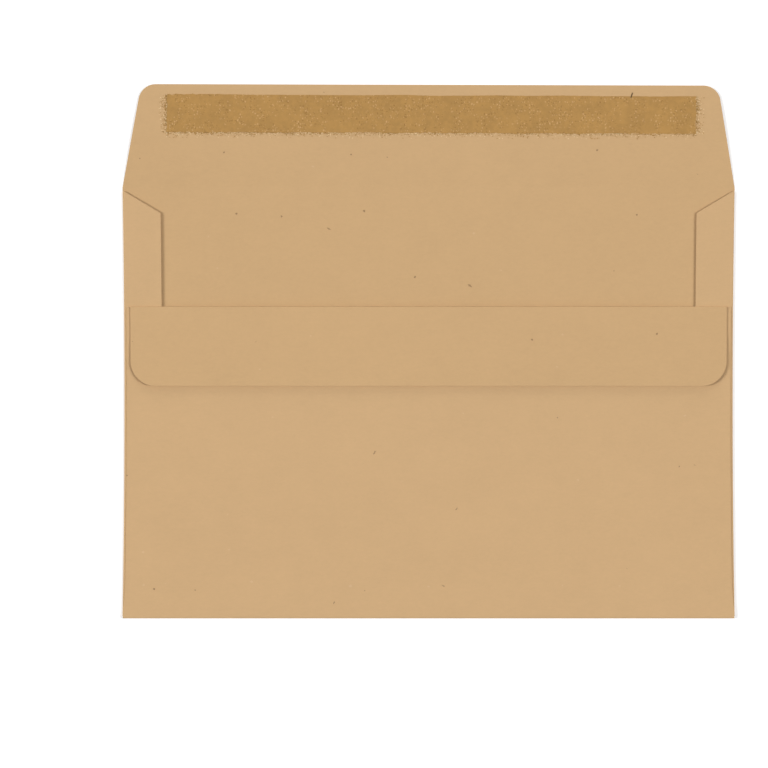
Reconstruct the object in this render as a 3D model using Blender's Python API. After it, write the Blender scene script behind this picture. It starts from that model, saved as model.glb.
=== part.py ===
"""A self-seal wallet envelope of manila paper, lying address side down with its flap open.

One die-cut sheet is drawn flat, cut along the rows where it bends, and carried through its folds
at its full thickness. The seal strips and seam gum are films drawn on the same flat sheet, so they
follow its folds.
"""
import math

import bmesh
import bpy

# Paper and films, in metres
PAPER_THICKNESS = 0.0001
LATEX_THICKNESS = 0.00004
GUM_THICKNESS = 0.00002
FILM_CLEARANCE = 0.00002

# Closed body, a C6 envelope. The waist is how far each side fold draws in at mid-height.
BODY_WIDTH = 0.162
BODY_HEIGHT = 0.114
SIDE_WAIST = 0.00052

# Fold radii on the inside of the paper
SIDE_FOLD_RADIUS = 0.00018
TUCK_FOLD_RADIUS = 0.0001

# Main flap
FLAP_DEPTH = 0.0272
FLAP_DRAFT = math.radians(9.8)
FLAP_CORNER_RADIUS = 0.0046
FLAP_CREASE_LENGTH = 0.0008
FLAP_CREASE_ANGLE = math.radians(2.5)
FLAP_CURL = math.radians(4.5)

# Side flaps, freed from the flap fold and the bottom fold by a slit at each end
CORNER_SLIT = 0.0001
SIDE_FLAP_WIDTH = 0.01
SIDE_FLAP_TOP_GAP = 0.001
SIDE_FLAP_BOTTOM_GAP = 0.00025
SIDE_FLAP_SQUARE_END = 0.0004
SIDE_FLAP_TOP_MITRE = math.radians(31.0)
SIDE_FLAP_BOTTOM_MITRE = math.radians(12.0)
SIDE_FLAP_CORNER_RADIUS = 0.0006

# Back panel and the tuck flap turned down over it
THROAT_DEPTH = 0.0315
BACK_INSET = 0.0006
BACK_FLARE_INSET = 0.0001
BACK_FLARE_HEIGHT = 0.009
TUCK_DEPTH = 0.021
TUCK_INSET = 0.0017
TUCK_CORNER_RADIUS = 0.0066
TUCK_LIFT = math.radians(1.8)
TUCK_CURL = math.radians(0.6)

# Rise of the back layers over the middle of the pocket
BOW_HEIGHT = 0.0005

# Latex strips, which meet face to face when the flap closes over the raised tuck flap.
# The side margins are taken from the body's edges.
STRIP_DEPTH = 0.01005
STRIP_TIP_MARGIN = 0.0028
STRIP_LEFT_MARGIN = 0.0106
STRIP_RIGHT_MARGIN = 0.0085
STRIP_CORNER_RADIUS = 0.0004

# Seam gum
GUM_WIDTH = 0.005
GUM_SIDE_MARGIN = 0.0028
GUM_END_MARGIN = 0.003

# Mesh steps
FOLD_STEPS = 12
CREASE_STEPS = 2
FLAP_STEPS = 6
SIDE_FLAP_STEPS = 3
BACK_STEPS = 10
TUCK_STEPS = 4
COLUMN_COUNT = 24
CORNER_STEPS = 10
SHARP_ANGLE = math.radians(35.0)
CUT_TOLERANCE = 0.0000001

# Colours, linear, and surface values
PAPER_COLOUR = (0.610, 0.402, 0.209, 1.0)
LATEX_COLOUR = (0.451, 0.258, 0.089, 1.0)
GUM_COLOUR = (0.560, 0.420, 0.230, 1.0)
PAPER_ROUGHNESS = 0.85
LATEX_ROUGHNESS = 0.55
GUM_ROUGHNESS = 0.45

# Positions that follow from the sizes above
HALF_WIDTH = BODY_WIDTH / 2
TOP_FOLD = BODY_HEIGHT / 2
THROAT = TOP_FOLD - THROAT_DEPTH
BACK_FOLD_RADIUS = SIDE_FOLD_RADIUS + (PAPER_THICKNESS + GUM_THICKNESS) / 2 + FILM_CLEARANCE
SIDE_BEND = HALF_WIDTH - SIDE_FOLD_RADIUS - PAPER_THICKNESS
BOTTOM_BEND = -TOP_FOLD + BACK_FOLD_RADIUS + PAPER_THICKNESS
TUCK_BEND = THROAT - TUCK_FOLD_RADIUS - PAPER_THICKNESS
SIDE_TOP = TOP_FOLD - SIDE_FLAP_TOP_GAP
SIDE_BOTTOM = BOTTOM_BEND + SIDE_FLAP_BOTTOM_GAP
SIDE_ARC = math.pi * (SIDE_FOLD_RADIUS + PAPER_THICKNESS / 2)
BACK_ARC = math.pi * (BACK_FOLD_RADIUS + PAPER_THICKNESS / 2)
TUCK_TURN = math.pi - TUCK_LIFT
TUCK_ARC = TUCK_TURN * (TUCK_FOLD_RADIUS + PAPER_THICKNESS / 2)
SIDE_LENGTH = SIDE_BEND - (HALF_WIDTH - SIDE_FLAP_WIDTH)
BACK_LENGTH = TUCK_BEND - BOTTOM_BEND
TUCK_LENGTH = TUCK_DEPTH - (THROAT - TUCK_BEND)

# Runs of the sheet outward from the address panel: length, turn towards the inside face, steps
FLAP_RUNS = [
    (FLAP_CREASE_LENGTH, FLAP_CREASE_ANGLE, CREASE_STEPS),
    (FLAP_DEPTH - FLAP_CREASE_LENGTH, -FLAP_CURL, FLAP_STEPS),
]
SIDE_RUNS = [
    (SIDE_ARC, math.pi, FOLD_STEPS),
    (SIDE_LENGTH, 0.0, SIDE_FLAP_STEPS),
]
BACK_RUNS = [
    (BACK_ARC, math.pi, FOLD_STEPS),
    (BACK_LENGTH, 0.0, BACK_STEPS),
    (TUCK_ARC, -TUCK_TURN, FOLD_STEPS),
    (TUCK_LENGTH, -TUCK_CURL, TUCK_STEPS),
]


def run_stops(runs):
    """Distances along the runs at which the flat sheet is cut so that it can bend."""
    stops = []
    start = 0.0
    for length, _turn, steps in runs:
        stops.extend(start + length * step / steps for step in range(steps))
        start += length
    return stops


def follow(runs, distance, offset):
    """Outward and upward travel after a distance along the runs, offset square to the paper."""
    out = 0.0
    up = 0.0
    heading = 0.0
    for length, turn, _steps in runs:
        part = min(distance, length)
        if turn:
            radius = length / turn
            turned = heading + part / radius
            out += radius * (math.sin(turned) - math.sin(heading))
            up += radius * (math.cos(heading) - math.cos(turned))
            heading = turned
        else:
            out += part * math.cos(heading)
            up += part * math.sin(heading)
        distance -= part
    return out - offset * math.sin(heading), up + offset * math.cos(heading)


def bow(x, y):
    """Rise of the back layers: none at the folds, most in the middle of the throat."""
    across = max(0.0, 1.0 - (x / SIDE_BEND) ** 2)
    along = min(max(0.0, (y - BOTTOM_BEND) / (THROAT - BOTTOM_BEND)), 1.0)
    return BOW_HEIGHT * across * math.sin(along * math.pi / 2)


def drawn_in(x, y):
    """Sideways place of a point once the side folds have drawn in at mid-height."""
    waist = SIDE_WAIST * max(0.0, 1.0 - (y / TOP_FOLD) ** 2)
    return x * (1.0 - waist / HALF_WIDTH)


def fold(u, v, w):
    """Place a point of the flat sheet, at height w above its outer face, on the folded envelope."""
    middle = PAPER_THICKNESS / 2
    offset = w - middle
    if v > TOP_FOLD - CUT_TOLERANCE:
        out, up = follow(FLAP_RUNS, v - TOP_FOLD, offset)
        return u, TOP_FOLD + out, middle + up
    if v < BOTTOM_BEND:
        out, up = follow(BACK_RUNS, BOTTOM_BEND - v, offset)
        y = BOTTOM_BEND - out
        return drawn_in(u, y), y, middle + up + bow(u, y)
    if abs(u) > SIDE_BEND and SIDE_BOTTOM - CUT_TOLERANCE < v < SIDE_TOP + CUT_TOLERANCE:
        out, up = follow(SIDE_RUNS, abs(u) - SIDE_BEND, offset)
        x = math.copysign(SIDE_BEND + out, u)
        return drawn_in(x, v), v, middle + up + bow(x, v)
    return drawn_in(u, v), v, w


def round_corner(before, corner, after, radius):
    """Points of the arc that replaces a corner between two straight edges."""
    to_before = math.atan2(before[1] - corner[1], before[0] - corner[0])
    to_after = math.atan2(after[1] - corner[1], after[0] - corner[0])
    half_angle = math.remainder(to_after - to_before, math.tau) / 2
    middle = to_before + half_angle
    reach = radius / math.sin(abs(half_angle))
    centre_u = corner[0] + reach * math.cos(middle)
    centre_v = corner[1] + reach * math.sin(middle)
    sweep = math.copysign(math.pi / 2 - abs(half_angle), half_angle)
    points = []
    for step in range(CORNER_STEPS + 1):
        angle = middle + math.pi + sweep * (1 - 2 * step / CORNER_STEPS)
        points.append((centre_u + radius * math.cos(angle), centre_v + radius * math.sin(angle)))
    return points


def rounded_outline(corners):
    """Closed outline through corners given as (u, v, radius)."""
    outline = []
    for index, (u, v, radius) in enumerate(corners):
        if radius:
            before = corners[index - 1]
            after = corners[(index + 1) % len(corners)]
            outline.extend(round_corner(before, (u, v), after, radius))
        else:
            outline.append((u, v))
    return outline


def rectangle(u_low, u_high, v_low, v_high, radius):
    """Outline of a rectangle with rounded corners, counterclockwise."""
    return rounded_outline([
        (u_low, v_low, radius),
        (u_high, v_low, radius),
        (u_high, v_high, radius),
        (u_low, v_high, radius),
    ])


def blank_outline():
    """Outline of the flat die-cut sheet, counterclockwise from its lower right corner."""
    tuck_half = HALF_WIDTH - TUCK_INSET
    back_half = HALF_WIDTH - BACK_INSET
    flare_half = HALF_WIDTH - BACK_FLARE_INSET
    back_end = BOTTOM_BEND - BACK_ARC
    throat_start = back_end - BACK_LENGTH
    throat_end = throat_start - TUCK_ARC
    side_fold_end = SIDE_BEND + SIDE_ARC
    side_edge = side_fold_end + SIDE_LENGTH
    mitre_start = side_fold_end + SIDE_FLAP_SQUARE_END - (HALF_WIDTH - SIDE_BEND)
    top_mitre = (side_edge - mitre_start) * math.tan(SIDE_FLAP_TOP_MITRE)
    bottom_mitre = (side_edge - side_fold_end) * math.tan(SIDE_FLAP_BOTTOM_MITRE)
    tip_half = HALF_WIDTH - FLAP_DEPTH * math.tan(FLAP_DRAFT)
    right = [
        (tuck_half, throat_end - TUCK_LENGTH, TUCK_CORNER_RADIUS),
        (tuck_half, throat_end, 0.0),
        (back_half, throat_start, 0.0),
        (back_half, back_end - BACK_FLARE_HEIGHT, 0.0),
        (flare_half, back_end, 0.0),
        (flare_half, SIDE_BOTTOM - CORNER_SLIT, 0.0),
        (SIDE_BEND, SIDE_BOTTOM, 0.0),
        (side_fold_end, SIDE_BOTTOM, 0.0),
        (side_edge, SIDE_BOTTOM + bottom_mitre, SIDE_FLAP_CORNER_RADIUS),
        (side_edge, SIDE_TOP - top_mitre, SIDE_FLAP_CORNER_RADIUS),
        (mitre_start, SIDE_TOP, 0.0),
        (SIDE_BEND, SIDE_TOP, 0.0),
        (HALF_WIDTH, SIDE_TOP + CORNER_SLIT, 0.0),
        (HALF_WIDTH, TOP_FOLD, 0.0),
        (tip_half, TOP_FOLD + FLAP_DEPTH, FLAP_CORNER_RADIUS),
    ]
    left = [(-u, v, radius) for u, v, radius in reversed(right)]
    return rounded_outline(right + left)


def cut_line(flat, axis, position, wanted):
    """Cut the wanted faces of the flat mesh along one straight line."""
    faces = [face for face in flat.faces if wanted(face.calc_center_bounds())]
    edges = {edge for face in faces for edge in face.edges}
    points = {point for face in faces for point in face.verts}
    place = [0.0, 0.0, 0.0]
    place[axis] = position
    normal = [0.0, 0.0, 0.0]
    normal[axis] = 1.0
    bmesh.ops.bisect_plane(
        flat,
        geom=faces + list(edges) + list(points),
        dist=CUT_TOLERANCE,
        plane_co=place,
        plane_no=normal,
    )


def cut_for_folding(flat):
    """Cut the flat mesh wherever the folded sheet turns or bows."""
    for stop in run_stops(FLAP_RUNS):
        cut_line(flat, 1, TOP_FOLD + stop, lambda centre: True)
    for stop in run_stops(BACK_RUNS):
        cut_line(flat, 1, BOTTOM_BEND - stop, lambda centre: True)
    for stop in run_stops(SIDE_RUNS):
        for side in (1, -1):
            cut_line(flat, 0, side * (SIDE_BEND + stop),
                     lambda centre: SIDE_BOTTOM < centre.y < SIDE_TOP)
    row_step = BACK_LENGTH / BACK_STEPS
    row = BOTTOM_BEND + row_step
    while row < SIDE_TOP:
        cut_line(flat, 1, row,
                 lambda centre: SIDE_BOTTOM < centre.y < SIDE_TOP and abs(centre.x) > SIDE_BEND)
        row += row_step
    for column in range(1, COLUMN_COUNT):
        cut_line(flat, 0, SIDE_BEND * (2 * column / COLUMN_COUNT - 1),
                 lambda centre: centre.y < BOTTOM_BEND)


def folded_mesh(name, outline, low, high):
    """Closed mesh of the outline between two heights above the outer face, after folding."""
    flat = bmesh.new()
    flat.faces.new([flat.verts.new((u, v, 0.0)) for u, v in outline])
    cut_for_folding(flat)
    bmesh.ops.triangulate(flat, faces=list(flat.faces))
    flat.verts.ensure_lookup_table()

    solid = bmesh.new()
    under = [solid.verts.new(fold(point.co.x, point.co.y, low)) for point in flat.verts]
    over = [solid.verts.new(fold(point.co.x, point.co.y, high)) for point in flat.verts]
    flat.verts.index_update()
    for face in flat.faces:
        ring = [point.index for point in face.verts]
        solid.faces.new([over[index] for index in ring])
        solid.faces.new([under[index] for index in reversed(ring)])
    for edge in flat.edges:
        if edge.is_boundary:
            loop = edge.link_loops[0]
            first = loop.vert.index
            second = loop.link_loop_next.vert.index
            solid.faces.new((over[second], over[first], under[first], under[second]))
    bmesh.ops.recalc_face_normals(solid, faces=list(solid.faces))
    mesh = bpy.data.meshes.new(name)
    solid.to_mesh(mesh)
    solid.free()
    flat.free()
    return mesh


def surface(name, colour, roughness):
    """Plain material with one colour and roughness."""
    material = bpy.data.materials.new(name)
    material.use_nodes = True
    shader = material.node_tree.nodes["Principled BSDF"]
    shader.inputs["Base Color"].default_value = colour
    shader.inputs["Roughness"].default_value = roughness
    shader.inputs["Metallic"].default_value = 0.0
    material.diffuse_color = colour
    return material


def add_piece(name, outline, low, high, material, parent=None):
    """Add one folded piece, with its origin at the centre of its bounding box floor."""
    mesh = folded_mesh(name, outline, low, high)
    mesh.materials.append(material)
    piece = bpy.data.objects.new(name, mesh)
    bpy.context.scene.collection.objects.link(piece)
    if parent:
        xs = [vertex.co.x for vertex in mesh.vertices]
        ys = [vertex.co.y for vertex in mesh.vertices]
        zs = [vertex.co.z for vertex in mesh.vertices]
        origin = ((min(xs) + max(xs)) / 2, (min(ys) + max(ys)) / 2, min(zs))
        for vertex in mesh.vertices:
            vertex.co = [value - shift for value, shift in zip(vertex.co, origin)]
        piece.location = origin
        piece.parent = parent
    mesh.shade_smooth()
    mesh.set_sharp_from_angle(angle=SHARP_ANGLE)
    return piece


def main():
    for old in list(bpy.data.objects):
        bpy.data.objects.remove(old, do_unlink=True)

    paper = surface("manila_paper", PAPER_COLOUR, PAPER_ROUGHNESS)
    flap_latex = surface("flap_latex", LATEX_COLOUR, LATEX_ROUGHNESS)
    tuck_latex = surface("tuck_flap_latex", LATEX_COLOUR, LATEX_ROUGHNESS)
    gum_left = surface("gum_left", GUM_COLOUR, GUM_ROUGHNESS)
    gum_right = surface("gum_right", GUM_COLOUR, GUM_ROUGHNESS)

    envelope = add_piece("envelope", blank_outline(), 0.0, PAPER_THICKNESS, paper)

    strip_left = STRIP_LEFT_MARGIN - HALF_WIDTH
    strip_right = HALF_WIDTH - STRIP_RIGHT_MARGIN
    strip_far = FLAP_DEPTH - STRIP_TIP_MARGIN
    strip_near = strip_far - STRIP_DEPTH
    strip_low = PAPER_THICKNESS + FILM_CLEARANCE
    flap_strip = rectangle(strip_left, strip_right, TOP_FOLD + strip_near, TOP_FOLD + strip_far,
                           STRIP_CORNER_RADIUS)
    add_piece("flap_seal_strip", flap_strip, strip_low, strip_low + LATEX_THICKNESS,
              flap_latex, envelope)

    # The closed flap brings its strip to the same distance above the throat fold
    mate_near = THROAT_DEPTH - strip_far
    tuck_start = BOTTOM_BEND - BACK_ARC - BACK_LENGTH - TUCK_ARC / 2
    tuck_strip = rectangle(strip_left, strip_right, tuck_start - mate_near - STRIP_DEPTH,
                           tuck_start - mate_near, STRIP_CORNER_RADIUS)
    add_piece("tuck_flap_seal_strip", tuck_strip, -FILM_CLEARANCE - LATEX_THICKNESS,
              -FILM_CLEARANCE, tuck_latex, envelope)

    gum_near = SIDE_BEND + SIDE_ARC + GUM_SIDE_MARGIN - (HALF_WIDTH - SIDE_BEND)
    gum_far = gum_near + GUM_WIDTH
    gum_bottom = BOTTOM_BEND + GUM_END_MARGIN
    gum_top = TUCK_BEND - GUM_END_MARGIN
    gum_low = -FILM_CLEARANCE - GUM_THICKNESS
    for name, near, far, material in (
        ("seam_gum_left", -gum_far, -gum_near, gum_left),
        ("seam_gum_right", gum_near, gum_far, gum_right),
    ):
        add_piece(name, rectangle(near, far, gum_bottom, gum_top, STRIP_CORNER_RADIUS),
                  gum_low, -FILM_CLEARANCE, material, envelope)


main()
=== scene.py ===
"""Looks of a manila self-seal wallet envelope, laid out as a Blender add-on and run as a script.

The folded sheet, its latex films and its seam gum are rebuilt finer than the solids they stand for,
on the same flat layout and the same folds, with ragged film edges and paper that isn't quite flat.
"""
import math
import random

import bmesh
import bpy
from bpy.props import FloatProperty, FloatVectorProperty, IntProperty, PointerProperty
from bpy.types import Operator, Panel, PropertyGroup
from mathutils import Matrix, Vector, noise


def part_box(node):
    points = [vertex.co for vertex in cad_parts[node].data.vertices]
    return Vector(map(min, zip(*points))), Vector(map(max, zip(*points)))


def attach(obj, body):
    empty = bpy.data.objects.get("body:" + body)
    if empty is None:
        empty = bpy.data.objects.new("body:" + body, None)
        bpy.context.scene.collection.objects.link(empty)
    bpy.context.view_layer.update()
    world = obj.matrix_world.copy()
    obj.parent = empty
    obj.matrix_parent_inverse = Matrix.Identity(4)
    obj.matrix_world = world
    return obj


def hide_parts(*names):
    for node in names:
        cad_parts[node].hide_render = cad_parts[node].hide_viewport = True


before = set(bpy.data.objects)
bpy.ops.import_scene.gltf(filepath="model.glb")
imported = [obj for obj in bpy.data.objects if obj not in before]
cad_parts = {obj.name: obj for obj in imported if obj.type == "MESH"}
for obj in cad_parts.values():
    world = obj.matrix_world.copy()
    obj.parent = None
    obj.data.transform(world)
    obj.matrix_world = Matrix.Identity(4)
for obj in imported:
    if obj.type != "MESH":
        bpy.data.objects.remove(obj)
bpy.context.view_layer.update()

bl_info = {
    "name": "Manila Wallet Envelope",
    "version": (1, 0, 0),
    "blender": (4, 5, 0),
    "location": "View3D > Sidebar > Envelope",
    "description": "Folds a manila envelope with latex seal strips and sets a plain studio round it",
    "category": "Add Mesh",
}

SHEET_LOW, SHEET_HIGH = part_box("envelope")
STRIP_LOW, STRIP_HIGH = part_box("flap_seal_strip")
BODY = "root"

# Surfaces of the sheet, in the order of its material slots, and the slot of a film's thin drops, whose pale
# colour is a painted glint
OUTER_FACE, INNER_FACE, CUT_EDGE, PAINTED_GLINT_DROP = range(4)

# Distance over which a ragged edge strays once, and the same for clusters of drops
EDGE_GRAIN = 0.0011
DROP_CLUSTER = 0.0016
# Smallest and largest radius of a drop
DROP_RADII = (0.00004, 0.00014)

# Height of the address panel above the table, and half the table's width
TABLE_GAP = 0.00004
TABLE_HALF = 3.0


def length(name, description, default):
    """A size in metres that the sidebar shows."""
    return FloatProperty(name=name, description=description, default=default, min=0.0,
                         precision=5, unit="LENGTH")


def angle(name, description, degrees):
    """An angle that the sidebar shows in degrees."""
    return FloatProperty(name=name, description=description, default=math.radians(degrees),
                         unit="ROTATION")


def colour(name, description, default):
    """A linear colour that the sidebar shows."""
    return FloatVectorProperty(name=name, description=description, default=default, size=4,
                               subtype="COLOR", min=0.0, max=1.0)


def light_share(name, description, default):
    """A share of the light on a level white sheet, that the sidebar shows."""
    return FloatProperty(name=name, description=description, default=default, min=0.0)


class SheetSizes(PropertyGroup):
    """Sizes of the folded sheet."""

    body_width: length("Body Width", "Width between the side folds", SHEET_HIGH[0] - SHEET_LOW[0])
    body_height: length("Body Height", "Height from the bottom fold to the flap fold", -2 * SHEET_LOW[1])
    side_waist: length("Side Waist", "How far the side folds draw in at mid-height", 0.00052)
    flap_depth: length("Flap Depth", "Main flap from its fold to its tip", 0.0272)
    flap_draft: angle("Flap Draft", "Slope of the main flap's sides", 9.8)
    flap_skew: angle("Flap Skew", "Lean of the die-cut flap to the right", 0.6)
    flap_tip_slope: angle("Flap Tip Slope", "Slope of the die-cut tip down to the right", 0.15)
    flap_corner: length("Flap Corner", "Radius of the main flap's corners", 0.0046)
    crease_length: length("Crease Length", "Width of the scored flap crease", 0.0008)
    crease_angle: angle("Crease Angle", "How far the flap stands up from flat at its crease", 2.5)
    flap_curl: angle("Flap Curl", "Curl back down over the flap's depth", 4.5)
    side_flap_width: length("Side Flap Width", "Side flap from the side fold inwards", 0.01)
    side_flap_top_gap: length("Side Flap Top Gap", "Side flap's top below the flap fold", 0.001)
    side_flap_bottom_gap: length("Side Flap Bottom Gap", "Side flap's foot above the bottom bend", 0.00025)
    corner_slit: length("Corner Slit", "Slit that frees each end of a side fold", 0.0001)
    side_flap_square_end: length("Side Flap Square End", "Straight stretch before the mitre", 0.0004)
    side_flap_top_mitre: angle("Top Mitre", "Slope of the side flap's top", 31.0)
    side_flap_bottom_mitre: angle("Bottom Mitre", "Slope of the side flap's foot", 12.0)
    side_flap_corner: length("Side Flap Corner", "Radius of the side flap's corners", 0.0006)
    throat_depth: length("Throat Depth", "Throat below the flap fold", 0.0315)
    back_inset: length("Back Inset", "Back panel's side edge in from the side fold", 0.0006)
    back_flare_inset: length("Back Flare Inset", "The same at the bottom fold", 0.0001)
    back_flare_height: length("Back Flare Height", "Height over which the edge flares out", 0.009)
    tuck_depth: length("Tuck Depth", "Turned-down tuck flap below the throat", 0.021)
    tuck_inset: length("Tuck Inset", "Tuck flap's side edge in from the side fold", 0.0017)
    tuck_corner: length("Tuck Corner", "Radius of the tuck flap's corners", 0.0066)
    tuck_lift: angle("Tuck Lift", "How far the tuck flap stands off at its fold", 1.8)
    tuck_curl: angle("Tuck Curl", "Curl back down over the tuck flap's depth", 0.6)
    tuck_droop: length("Tuck Droop", "How far the tuck flap's side edges hang down", 0.0002)
    side_fold_radius: length("Side Fold Radius", "Radius inside the side folds", 0.00018)
    tuck_fold_radius: length("Tuck Fold Radius", "Radius inside the throat fold", 0.0001)
    bow_height: length("Bow Height", "Rise of the back layers in the middle of the throat", 0.0005)
    ripple_height: length("Ripple Height", "Gentle waves in the back layers and the flap", 0.00012)
    ripple_length: length("Ripple Length", "Distance from one wave to the next", 0.034)
    grid: length("Mesh Step", "Spacing of the sheet's mesh lines", 0.0025)
    fold_steps: IntProperty(name="Fold Steps", description="Mesh steps round each fold", default=14, min=4)


class FilmSizes(PropertyGroup):
    """Sizes of the paper, the latex films and the seam gum."""

    paper: length("Paper", "Thickness of the paper", 0.0001)
    latex: length("Latex", "Thickness of the latex films", 0.00004)
    gum: length("Gum", "Thickness of the seam gum", 0.00002)
    clearance: length("Clearance", "Gap between a film and its paper", 0.00002)
    strip_depth: length("Strip Depth", "Depth of each latex strip", 0.01005)
    strip_tip_margin: length("Strip Tip Margin", "Paper left between the strip and the flap's tip", 0.0028)
    strip_slant: angle("Strip Slant", "Slope of the sprayed strip across the flap", 0.1)
    strip_end_margin: length("Strip End Margin", "Sparse drops at each end of the strip", 0.0014)
    strip_lower_margin: length("Strip Lower Margin", "Sparse drops below the strip", 0.0001)
    strip_shift: length("Strip Shift", "How far the sprayed strip lies left of its place", 0.0005)
    strip_wave: length("Strip Wave", "Long waves in the strip's edges", 0.00016)
    ragged_edge: length("Ragged Edge", "How far the strip's lower edge and ends stray", 0.00025)
    ragged_top: length("Ragged Top", "How far from its left end the strip's top still strays", 0.03)
    ragged_step: length("Ragged Step", "Spacing of the points along a ragged edge", 0.0004)
    spatter_reach: length("Spatter Reach", "How far drops lie from the strip's ends, on average", 0.0005)
    spatter_drops: IntProperty(name="Spatter Drops", description="Thick drops round the strip",
                               default=1700, min=0)
    # How many thin drops lie round the strip; their pale colour is a painted glint
    thin_drops: IntProperty(name="Thin Drops", description="Thin pale drops round the strip",
                            default=1500, min=0)
    gum_width: length("Gum Width", "Width of each band of seam gum", 0.005)
    gum_side_margin: length("Gum Side Margin", "Side flap left bare outside the gum", 0.0028)
    gum_end_margin: length("Gum End Margin", "Back panel left bare at the gum's ends", 0.003)
    seed: IntProperty(name="Seed", description="Seed of the ragged edges and drops", default=7)


class Finish(PropertyGroup):
    """Colours of the paper, the latex and the gum."""

    outer: colour("Outer Paper", "Paper on the outside of the envelope", (0.611, 0.398, 0.205, 1.0))
    inner: colour("Inner Paper", "Paper on the inside of the envelope", (0.592, 0.383, 0.192, 1.0))
    edge: colour("Cut Edge", "Cut edge of the paper", (0.700, 0.500, 0.300, 1.0))
    shive: colour("Dark Specks", "Dark specks in the paper", (0.205, 0.120, 0.055, 1.0))
    pale: colour("Pale Specks", "Pale fibres in the paper", (0.760, 0.570, 0.370, 1.0))
    latex: colour("Latex", "Dried latex", (0.421, 0.233, 0.067, 1.0))
    latex_dark: colour("Latex Dark Marks", "Dark marks in the latex", (0.250, 0.125, 0.030, 1.0))
    latex_pale: colour("Latex Thin Marks", "Thin spots in the latex", (0.620, 0.390, 0.175, 1.0))
    # Pale colour of the thin drops: a painted glint, lighter than the paper under them
    latex_drop_glint: colour("Thin Drops", "Thin drops of latex round the strip", (0.760, 0.560, 0.310, 1.0))
    gum: colour("Seam Gum", "Dried seam gum", (0.560, 0.420, 0.230, 1.0))
    fibre: colour("Dark Fibre", "The dark fibre at the strip's top edge", (0.070, 0.038, 0.012, 1.0))
    fibre_place: FloatVectorProperty(name="Fibre Place", description="Where the dark fibre lies", size=3,
                                     default=(0.05376, 0.08142, 0.0), subtype="TRANSLATION")
    fibre_turn: angle("Fibre Turn", "How far the dark fibre leans from upright", 19.0)


class Studio(PropertyGroup):
    """Camera and light."""

    lens: FloatProperty(name="Lens", description="Focal length in millimetres", default=200.0, min=10.0)
    view_width: length("View Width", "Width of the table that the picture takes in", 0.20329)
    view_x: FloatProperty(name="View X", description="Middle of the picture along X",
                          default=-0.01179, unit="LENGTH")
    view_y: FloatProperty(name="View Y", description="Middle of the picture along Y",
                          default=0.00502, unit="LENGTH")
    sky: light_share("Sky", "Share of the light that comes from all round", 0.224)
    left_light: light_share("Left Light", "Left soft box's share of the light", 0.365)
    right_light: light_share("Right Light", "Right soft box's share of the light", 0.355)
    top_light: light_share("Top Light", "Share of the soft box past the flap", 0.08)


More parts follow.
